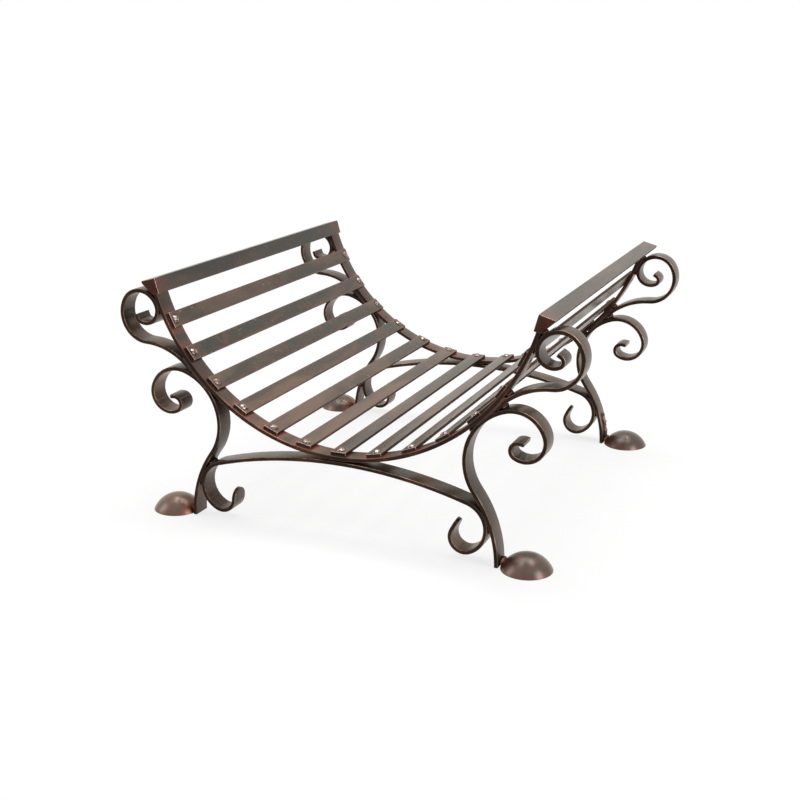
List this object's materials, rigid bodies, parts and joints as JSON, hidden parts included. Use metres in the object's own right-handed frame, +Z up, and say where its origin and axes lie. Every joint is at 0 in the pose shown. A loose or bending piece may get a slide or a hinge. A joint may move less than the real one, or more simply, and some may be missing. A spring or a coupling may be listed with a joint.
{
  "type": "log holder",
  "caption": "Open cradle for fireplace logs: a curved bed of riveted steel slats on scrolled flat-bar side frames with arched stretchers and dome feet.",
  "frame": {"origin": "middle of the footprint, on the floor", "axes": "+X across the cradle from the left scrolls to the right scrolls, +Y along the slats to the rear frame, +Z up"},
  "size_m": [0.5984, 0.542, 0.3052],
  "materials": {
    "slat_bar": "hand-burnished flat steel, heat-browned edges, satin clear lacquer",
    "frame_bar": "dark brown heat patina with rubbed edges, satin clear lacquer",
    "end_plate": "dark red-brown heat patina, satin clear lacquer",
    "dome": "pressed sheet, smooth dark brown patina, satin clear lacquer",
    "rivet": "hammered round heads, burnished",
    "weld": "rippled bead with orange-brown heat tint"
  },
  "bodies": {
    "root": {"front_rail": "frame_bar", "front_arch": "frame_bar", "front_rivets": "rivet", "front_rail_welds": "weld", "front_arch_welds": "weld", "rear_rail": "frame_bar", "rear_arch": "frame_bar", "rear_rivets": "rivet", "rear_rail_welds": "weld", "rear_arch_welds": "weld", "left_top_angle": "slat_bar", "right_top_angle": "slat_bar", "front_left_leg": "frame_bar", "front_left_upper_scroll": "frame_bar", "front_left_end_plate": "end_plate", "front_left_dome_foot": "dome", "front_right_leg": "frame_bar", "front_right_upper_scroll": "frame_bar", "front_right_end_plate": "end_plate", "front_right_dome_foot": "dome", "rear_left_leg": "frame_bar", "rear_left_upper_scroll": "frame_bar", "rear_left_end_plate": "end_plate", "rear_left_dome_foot": "dome", "rear_right_leg": "frame_bar", "rear_right_upper_scroll": "frame_bar", "rear_right_end_plate": "end_plate", "rear_right_dome_foot": "dome", "slat_01": "slat_bar", "slat_02": "slat_bar", "slat_03": "slat_bar", "slat_04": "slat_bar", "slat_05": "slat_bar", "slat_06": "slat_bar", "slat_07": "slat_bar", "slat_08": "slat_bar", "slat_09": "slat_bar", "slat_10": "slat_bar", "slat_11": "slat_bar", "slat_12": "slat_bar", "slat_13": "slat_bar", "foot_welds": "weld"}
  },
  "joints": []
}
